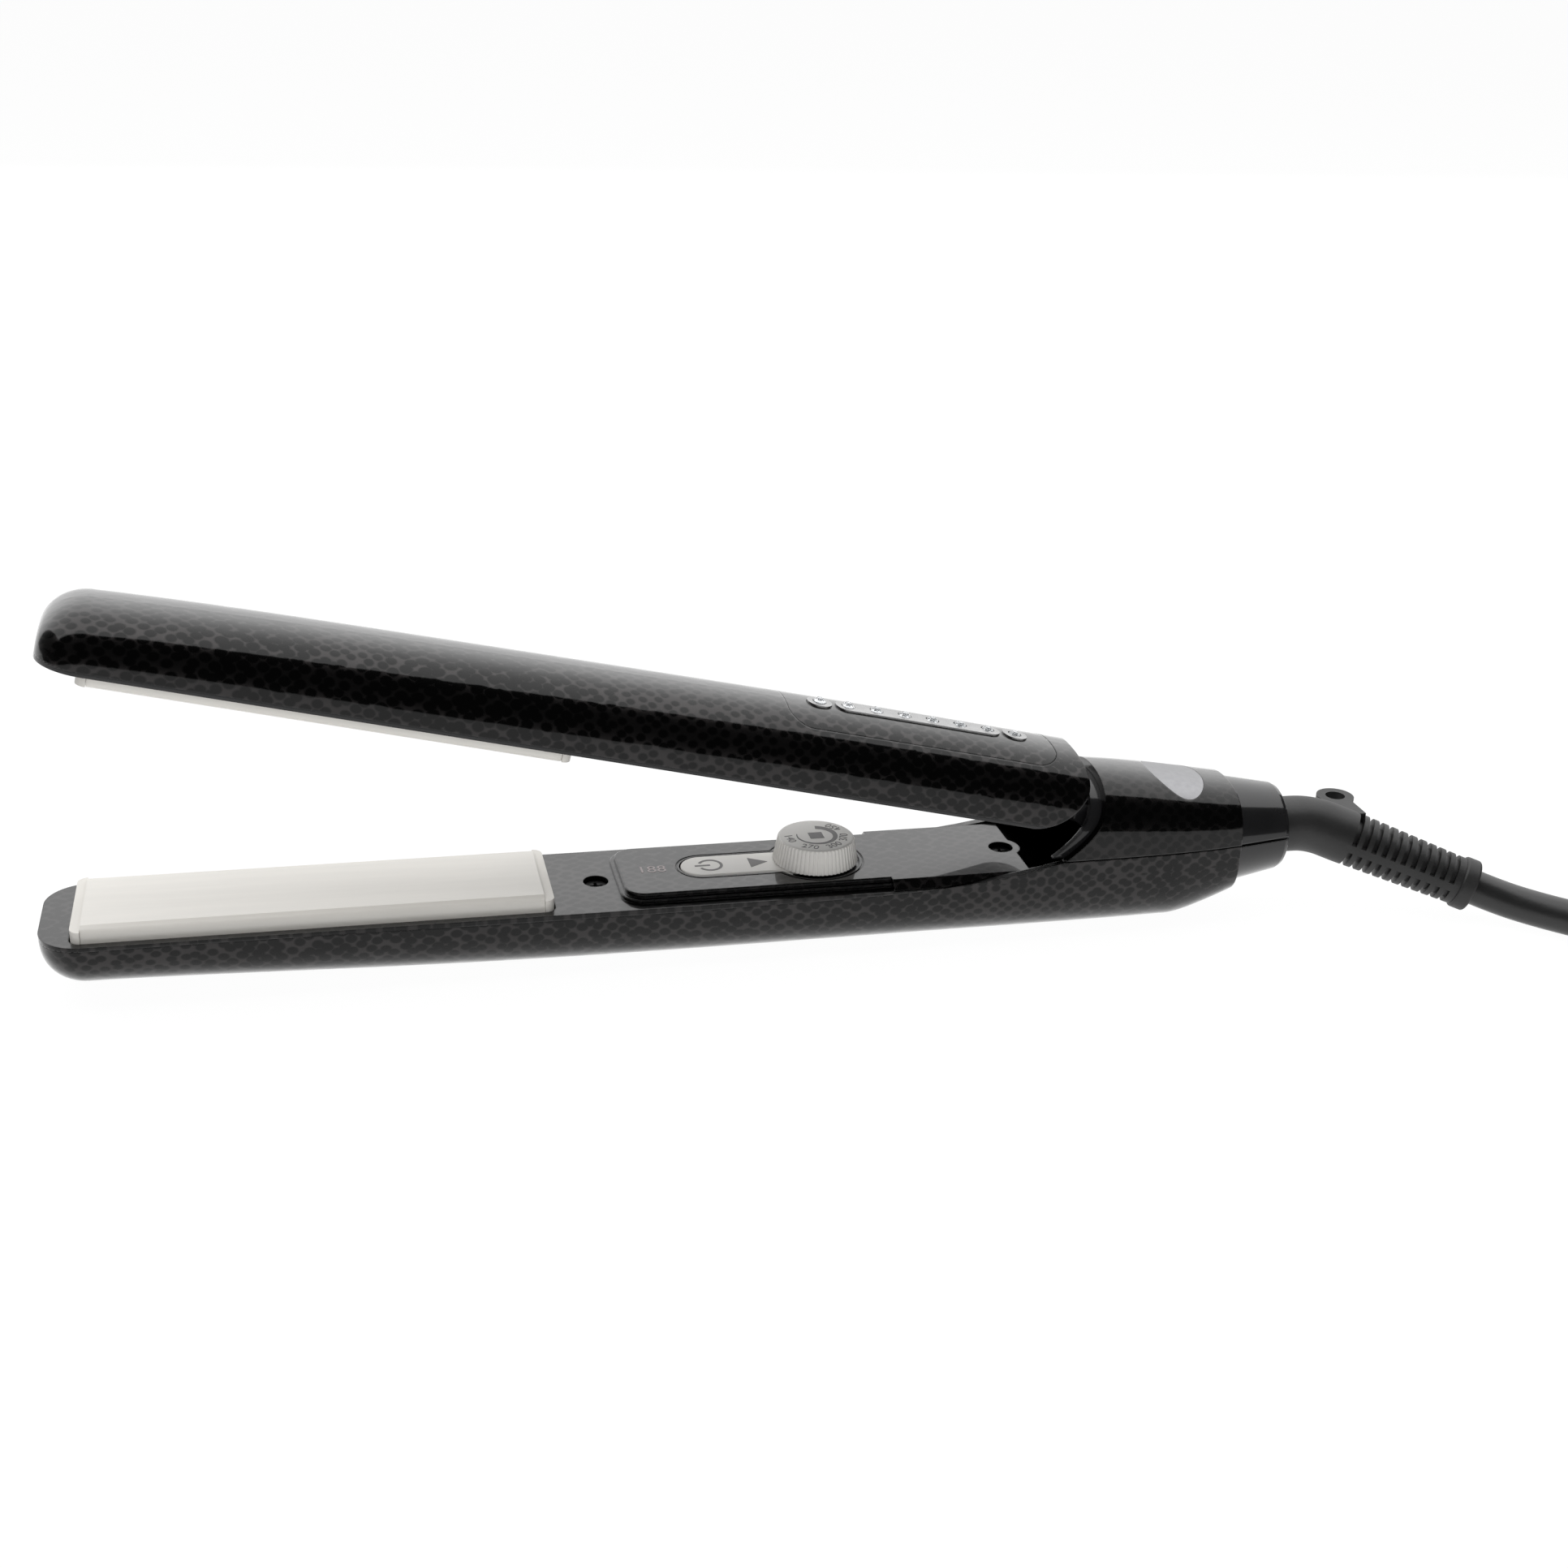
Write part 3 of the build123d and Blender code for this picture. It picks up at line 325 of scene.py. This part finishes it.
def scale_print(name, axis_z, turned, strength=1.0):
    """Black plastic printed with staggered dark scales under a clear gloss coat."""
    material, tree, shader = blank(
        name, Metallic=1.0, Roughness=0.3, Coat_Weight=1.0, Coat_Roughness=0.03, Coat_IOR=1.34)
    where = place_on(tree)
    if turned:
        settings = {"Center": (0, 0, HINGE_HEIGHT), "Angle": -math.radians(OPEN_ANGLE)}
        spin = add(tree, "ShaderNodeVectorRotate", settings, {"Vector": where}, rotation_type="Y_AXIS")
        where = spin.outputs[0]
    along, across = print_place(tree, where, axis_z)
    drift = math_node(tree, "MULTIPLY", noise(tree, where, 22, 2), 0.005)
    u = math_node(tree, "DIVIDE", math_node(tree, "ADD", along, drift), SCALE_LENGTH)
    v = math_node(tree, "DIVIDE", math_node(tree, "SUBTRACT", across, drift), SCALE_WIDTH)
    diagonal = add(tree, "ShaderNodeCombineXYZ", links={
        "X": math_node(tree, "ADD", u, v), "Y": math_node(tree, "SUBTRACT", u, v)})
    cells = add(
        tree, "ShaderNodeTexVoronoi", {"Scale": 1.0, "Randomness": 0.5}, {"Vector": diagonal.outputs[0]},
        voronoi_dimensions="2D", feature="F1")
    size = between(tree, noise(tree, where, 38, 3), -0.26, 0.30)
    reach = math_node(tree, "SUBTRACT", cells.outputs["Distance"], size)
    ground = tuple(low + (high - low) * strength for low, high in zip(PRINT_SPOT, PRINT_GROUND))
    tones = ramp(tree, reach, (0.36, PRINT_SPOT), (0.54, ground))
    shade = between(tree, noise(tree, where, 130, 4), 0.65, 1.35)
    mixed = add(tree, "ShaderNodeVectorMath", links={0: tones, 1: shade}, operation="MULTIPLY")
    tree.links.new(mixed.outputs[0], shader.inputs["Base Color"])
    soft_edges(tree, shader)
    return material


def gloss_black(name):
    """High gloss black moulding."""
    material, tree, shader = blank(
        name, Specular_IOR_Level=0.12, Coat_Weight=1.0, Coat_Roughness=0.03, Coat_IOR=1.4)
    where = place_on(tree)
    lighter = tuple(c * 1.6 for c in GLOSS_BLACK[:3]) + (1,)
    tones = ramp(tree, noise(tree, where, 90), (0.3, GLOSS_BLACK), (0.7, lighter))
    tree.links.new(tones, shader.inputs["Base Color"])
    tree.links.new(between(tree, noise(tree, where, 80), 0.22, 0.36), shader.inputs["Roughness"])
    soft_edges(tree, shader)
    return material


def satin_plastic(name, colour, rough=0.42, grain=1400, depth=0.00002):
    """Moulded plastic with a fine spark-eroded grain and slight tone changes."""
    material, tree, shader = blank(name, Specular_IOR_Level=0.45)
    where = place_on(tree)
    darker = tuple(c * 0.93 for c in colour[:3]) + (1,)
    tones = ramp(tree, noise(tree, where, 35, 4), (0.3, darker), (0.7, colour))
    sheen = between(tree, noise(tree, where, 200), rough - 0.06, rough + 0.06)
    tree.links.new(tones, shader.inputs["Base Color"])
    tree.links.new(sheen, shader.inputs["Roughness"])
    bump(tree, shader, noise(tree, where, grain, 2), depth)
    return material


def coated_plate():
    """The plates' warm grey ceramic coating, with its faint lengthwise grinding."""
    material, tree, shader = blank(
        "plate_coating", Specular_IOR_Level=0.5, Coat_Weight=0.25, Coat_Roughness=0.2)
    where = place_on(tree)
    streaks = noise(tree, where, 500, 3, (0.06, 1, 1))
    darker = tuple(c * 0.95 for c in PLATE_GREY[:3]) + (1,)
    tree.links.new(ramp(tree, streaks, (0.3, darker), (0.7, PLATE_GREY)), shader.inputs["Base Color"])
    tree.links.new(between(tree, streaks, 0.30, 0.42), shader.inputs["Roughness"])
    bump(tree, shader, streaks, 0.00001)
    return material


def rubber(name):
    """Matte black moulded rubber with dust-fine mottling."""
    material, tree, shader = blank(name, Specular_IOR_Level=0.5)
    where = place_on(tree)
    grey = tuple(c * 1.8 for c in RUBBER_BLACK[:3]) + (1,)
    tones = ramp(tree, noise(tree, where, 150, 5), (0.35, RUBBER_BLACK), (0.75, grey))
    tree.links.new(tones, shader.inputs["Base Color"])
    tree.links.new(between(tree, noise(tree, where, 90), 0.40, 0.55), shader.inputs["Roughness"])
    bump(tree, shader, noise(tree, where, 1100, 3), 0.00004)
    return material


def metal(name, colour, rough, metallic=1.0, grain=(1, 1, 1)):
    """Metal with fine tool marks along the stretched axis."""
    material, tree, shader = blank(name, Metallic=metallic)
    where = place_on(tree)
    marks = noise(tree, where, 700, 3, grain)
    darker = tuple(c * 0.85 for c in colour[:3]) + (1,)
    tree.links.new(ramp(tree, marks, (0.3, darker), (0.7, colour)), shader.inputs["Base Color"])
    tree.links.new(between(tree, marks, rough * 0.8, rough * 1.25), shader.inputs["Roughness"])
    bump(tree, shader, marks, 0.00001)
    return material


def cut_glass(name, tint, rough=0.02):
    """Clear glass with slight unevenness in its polish."""
    material, tree, shader = blank(name, Base_Color=tint, Transmission_Weight=0.85, IOR=1.6, Coat_Weight=0.5)
    where = place_on(tree)
    tree.links.new(between(tree, noise(tree, where, 300), rough * 0.5, rough * 2), shader.inputs["Roughness"])
    return material


def solder_board():
    """Green circuit board with a hint of its tracks."""
    material, tree, shader = blank("circuit_board", Coat_Weight=0.4)
    where = place_on(tree)
    tracks = add(tree, "ShaderNodeTexBrick", {
        "Scale": 180.0, "Color1": (0.01, 0.12, 0.04, 1), "Color2": (0.012, 0.15, 0.05, 1),
        "Mortar": (0.03, 0.25, 0.09, 1), "Mortar Size": 0.03}, {"Vector": where})
    tree.links.new(tracks.outputs["Color"], shader.inputs["Base Color"])
    return material


def dress_frame():
    """Every CAD node that shows gets its finished material."""
    paint(scale_print("print_lower", LOWER_AXIS_Z, False), "lower_shell")
    paint(scale_print("print_upper", UPPER_AXIS_Z, True), "upper_shell")
    paint(scale_print("print_trim", UPPER_AXIS_Z, True), "trim_panel")
    paint(scale_print("print_rear", REAR_AXIS_Z, False, 0.45), "rear_cover")
    paint(scale_print("print_deck", None, False, 0.7), "lower_inner_cover")
    paint(gloss_black("gloss_black"),
          "upper_inner_cover", "collar_upper_half", "collar_lower_half", "mouth_liner")
    paint(coated_plate(), "lower_plate", "upper_plate")
    paint(satin_plastic("carrier_plastic", PLATE_GREY), "lower_plate_carrier", "upper_plate_carrier")
    paint(satin_plastic("control_white", OFF_WHITE, 0.36), "dial_knob", "power_key")
    paint(satin_plastic("nylon", OFF_WHITE, 0.5), "dial_shaft", "swivel_washer", "hinge_bushes")
    paint(satin_plastic("black_satin", GLOSS_BLACK, 0.5), "key_switch", "swivel_terminal_block")
    paint(satin_plastic("heater_ceramic", (0.8, 0.79, 0.75, 1), 0.7), "lower_heater", "upper_heater")
    paint(satin_plastic("wire_sleeve", (0.7, 0.66, 0.6, 1), 0.5),
          "mains_wires", "lower_heater_wires", "upper_heater_wires")
    paint(satin_plastic("display", (0.2, 0.01, 0.01, 1), 0.2), "display_module")
    paint(solder_board(), "control_board")
    paint(rubber("relief_rubber"), "strain_relief", "hanging_loop")
    paint(rubber("plug_rubber"), "plug_body", "cord_tie")
    paint(metal("spring_steel", (0.5, 0.5, 0.51, 1), 0.25, grain=(0.1, 1, 1)),
          "lower_heater_clip", "upper_heater_clip", "hinge_pin", "torsion_spring", "dial_potentiometer")
    paint(metal("black_screws", (0.03, 0.03, 0.03, 1), 0.35, 0.6),
          "board_screws", "lower_cover_screws", "upper_cover_screws", "rear_cover_screws")
    paint(metal("badge_silver", (0.30, 0.30, 0.31, 1), 0.35, 0.8), "rear_badge")
    paint(metal("bright_setting", (0.42, 0.42, 0.42, 1), 0.28), "stone_setting")
    paint(metal("contact_brass", (0.7, 0.5, 0.22, 1), 0.25), "swivel_contact_rings")
    paint(metal("blade_nickel", (0.66, 0.64, 0.6, 1), 0.2, grain=(0.1, 1, 1)), "plug_blades")
    paint(cut_glass("cut_glass", (0.93, 0.95, 0.97, 1)), "rhinestones")
    paint(cut_glass("sensor_glass", (0.8, 0.5, 0.25, 1), 0.1), "thermistor", "thermal_fuse")


# ---- marks on the controls ----


def flat_mark(name, outline, height, material, body):
    """A thin raised mark with the given outline, (x, y) points, at that height."""
    count = len(outline)
    low = [(x, y, height) for x, y in outline]
    high = [(x, y, height + MARK_THICKNESS) for x, y in outline]
    sides = [(n, (n + 1) % count, count + (n + 1) % count, count + n) for n in range(count)]
    faces = [tuple(reversed(range(count))), tuple(range(count, 2 * count))] + sides
    mesh_piece(name, low + high, faces, material, body)


def arc_outline(centre, radius, start, stop, width_start, width_stop, steps=48):
    """A curved stroke's outline, its width changing along the way."""
    inner, outer = [], []
    for n in range(steps + 1):
        share = n / steps
        angle = math.radians(start + (stop - start) * share)
        half = (width_start + (width_stop - width_start) * share) / 2
        for side, points in ((-half, inner), (half, outer)):
            reach = radius + side
            points.append((centre[0] + reach * math.cos(angle), centre[1] + reach * math.sin(angle)))
    return outer + inner[::-1]


def number(name, words, place, turn, size, material, body):
    """A printed number lying on a surface."""
    curve = bpy.data.curves.new(name, "FONT")
    curve.body = words
    curve.size = size
    curve.align_x = "CENTER"
    curve.align_y = "CENTER"
    curve.extrude = MARK_THICKNESS / 2
    piece = link(bpy.data.objects.new(name, curve))
    piece.location = place
    piece.rotation_euler = (0, 0, turn)
    curve.materials.append(material)
    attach(piece, body)


def dress_dial(ink):
    """The dial's numbers, its growing arc and a plain centre mark."""
    for words, turned in DIAL_NUMBERS:
        angle = math.radians(turned)
        x, y = DIAL_X + NUMBER_RADIUS * math.cos(angle), NUMBER_RADIUS * math.sin(angle)
        place = (x, y, DIAL_TOP + MARK_THICKNESS / 2)
        turn = angle + math.pi / 2
        number(f"dial_number_{words}", words, place, turn, NUMBER_SIZE, ink, "dial")
    arc = arc_outline((DIAL_X, 0.0), ARC_RADIUS, ARC_FROM, ARC_TO, *ARC_WIDTHS)
    flat_mark("dial_arc", arc, DIAL_TOP, ink, "dial")
    half = CENTRE_MARK_HALF
    square = [(DIAL_X - half, -half), (DIAL_X + half, -half), (DIAL_X + half, half), (DIAL_X - half, half)]
    flat_mark("dial_centre_mark", square, DIAL_TOP, ink, "dial")


def dress_key(ink):
    """The key's power sign and the arrow towards the dial."""
    ring = arc_outline((SIGN_X, 0.0), SIGN_RADIUS, -152, 152, SIGN_STROKE, SIGN_STROKE)
    flat_mark("key_power_ring", ring, KEY_TOP, ink, "key")
    start, half = SIGN_X - SIGN_BAR, SIGN_STROKE / 2
    bar = [(start, -half), (SIGN_X, -half), (SIGN_X, half), (start, half)]
    flat_mark("key_power_bar", bar, KEY_TOP, ink, "key")
    tail, tip = ARROW_X
    arrow = [(tail, -ARROW_HALF), (tip, 0.0), (tail, ARROW_HALF)]
    flat_mark("key_arrow", arrow, KEY_TOP, ink, "key")


def dress_display():
    """The display's figures, just showing through the dark panel."""
    red = satin_plastic("display_figures", DIGIT_RED, 0.2)
    red.node_tree.nodes["Principled BSDF"].inputs["Coat Weight"].default_value = 1.0
    place = (FIGURES_X, 0.0, PANEL_TOP + MARK_THICKNESS / 2)
    number("display_figures", "188", place, 0.0, FIGURES_SIZE, red, "lower_arm")


# ---- light and floor ----


def plain_sheet(name, points, faces, material):
    """A sheet of the studio, not part of the object."""
    mesh = bpy.data.meshes.new(name)
    mesh.from_pydata(points, [], faces)
    mesh.materials.append(material)
    sheet = link(bpy.data.objects.new(name, mesh))
    return sheet


def make_floor():
    """A plain pale floor."""
    material = blank(
        "floor", Base_Color=(FLOOR_TONE, FLOOR_TONE, FLOOR_TONE, 1), Roughness=0.9, Specular_IOR_Level=0.05,
        Emission_Color=(1, 1, 1, 1), Emission_Strength=FLOOR_GLOW)[0]
    signs = ((-1, -1), (1, -1), (1, 1), (-1, 1))
    corners = [(x * FLOOR_HALF, y * FLOOR_HALF, FLOOR_Z) for x, y in signs]
    plain_sheet("floor", corners, [(0, 1, 2, 3)], material)


def make_tent():
    """A glowing half round sheet, dim low down behind the iron and brighter overhead."""
    material, tree, shader = blank("tent", Base_Color=(0, 0, 0, 1), Emission_Color=(1, 1, 1, 1))
    split = add(tree, "ShaderNodeSeparateXYZ", links={"Vector": place_on(tree)})
    height = math_node(tree, "DIVIDE", split.outputs["Z"], TENT_RADIUS)
    tree.links.new(between(tree, height, *TENT_GLOW), shader.inputs["Emission Strength"])
    points = []
    for n in range(TENT_STEPS + 1):
        angle = math.radians(TENT_BACK + (TENT_FRONT - TENT_BACK) * n / TENT_STEPS)
        for x in (-TENT_HALF_LENGTH, TENT_HALF_LENGTH):
            points.append((x, -TENT_RADIUS * math.cos(angle), TENT_RADIUS * math.sin(angle)))
    faces = [(2 * n, 2 * n + 1, 2 * n + 3, 2 * n + 2) for n in range(TENT_STEPS)]
    plain_sheet("tent", points, faces, material).visible_camera = False


def make_fill():
    """A soft light from the front, for the faces that the tent doesn't reach."""
    data = bpy.data.lights.new("front_fill", "AREA")
    data.shape = "RECTANGLE"
    data.size, data.size_y = FILL_SIZE
    data.energy = FILL_POWER
    lamp = link(bpy.data.objects.new("front_fill", data))
    lamp.location = FILL_PLACE
    lamp.rotation_euler = (-lamp.location).to_track_quat("-Z", "Y").to_euler()
    lamp.visible_camera = False
    lamp.visible_glossy = False


def make_studio():
    """Floor, tent and fill in dim surroundings."""
    world = bpy.data.worlds.new("surroundings")
    bpy.context.scene.world = world
    world.use_nodes = True
    world.node_tree.nodes["Background"].inputs["Color"].default_value = (DIM, DIM, DIM, 1)
    make_floor()
    make_tent()
    make_fill()
    bpy.context.scene.view_settings.view_transform = "Standard"


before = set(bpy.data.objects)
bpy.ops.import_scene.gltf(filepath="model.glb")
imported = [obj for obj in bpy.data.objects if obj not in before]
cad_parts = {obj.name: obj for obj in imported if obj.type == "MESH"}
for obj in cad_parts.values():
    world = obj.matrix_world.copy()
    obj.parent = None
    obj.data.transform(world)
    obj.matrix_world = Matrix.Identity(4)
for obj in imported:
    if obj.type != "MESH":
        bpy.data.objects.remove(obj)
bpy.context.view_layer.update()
make_camera()
make_cord()
dress_frame()
ink_grey = satin_plastic("ink_grey", MARK_GREY, 0.45)
dress_dial(ink_grey)
dress_key(ink_grey)
dress_display()
make_studio()
